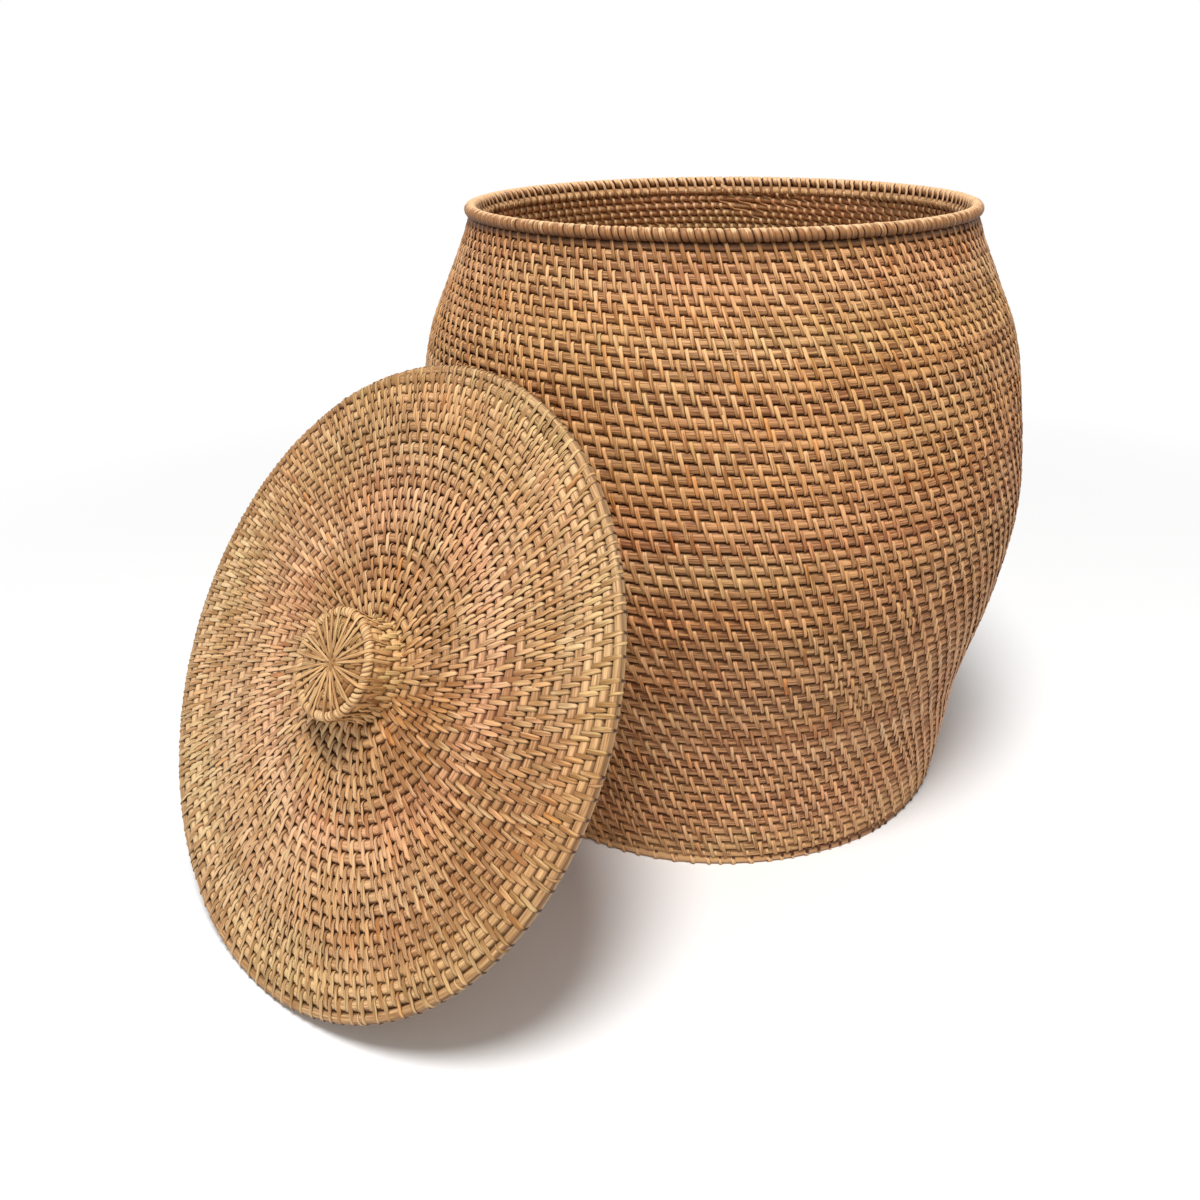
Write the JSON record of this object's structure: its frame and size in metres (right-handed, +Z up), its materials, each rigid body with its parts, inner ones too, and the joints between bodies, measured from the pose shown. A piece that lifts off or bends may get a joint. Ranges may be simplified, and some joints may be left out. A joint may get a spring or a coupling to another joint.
{
  "type": "laundry basket",
  "caption": "Pot-shaped coiled rattan laundry basket with a wrapped rim and a separate round lid with a knob, leaning on its front.",
  "frame": {"origin": "on the floor, under the middle of the basket's flat base", "axes": "+Z up along the basket's axis; the lid leans on the side towards -Y"},
  "size_m": [0.5096, 0.7272, 0.4999],
  "materials": {
    "rattan": "satin",
    "rattan_dark": "satin",
    "rattan_pale": "satin"
  },
  "bodies": {
    "basket": {"base_coil_2": "rattan_dark", "base_coil_3": "rattan_dark", "base_coil_4": "rattan_dark", "base_start_coil": "rattan_dark", "rim_hoop": "rattan_dark", "rim_wrap": "rattan_pale", "wall_coil_01": "rattan", "wall_coil_02": "rattan", "wall_coil_03": "rattan", "wall_coil_04": "rattan", "wall_coil_05": "rattan", "wall_coil_06": "rattan", "wall_coil_07": "rattan", "wall_coil_08": "rattan", "wall_coil_09": "rattan", "wall_coil_10": "rattan", "wall_coil_11": "rattan", "wall_coil_12": "rattan", "wall_coil_13": "rattan", "wall_coil_14": "rattan", "wall_coil_15": "rattan", "wall_coil_16": "rattan"},
    "lid": {"knob_edge_ring": "rattan_pale", "knob_side_coil": "rattan", "knob_star_wrap": "rattan_pale", "knob_top_coil": "rattan_dark", "lid_coil_2": "rattan", "lid_coil_3": "rattan", "lid_coil_4": "rattan", "lid_coil_5": "rattan", "lid_edge_hoop": "rattan_dark", "lid_edge_wrap": "rattan_pale", "lid_locating_ring": "rattan_dark", "lid_start_coil": "rattan"}
  },
  "joints": [
    {"name": "lid_lift", "type": "slide", "parent": "basket", "child": "lid", "axis": [0, 0, 1], "range_m": [0, 0.6]}
  ]
}
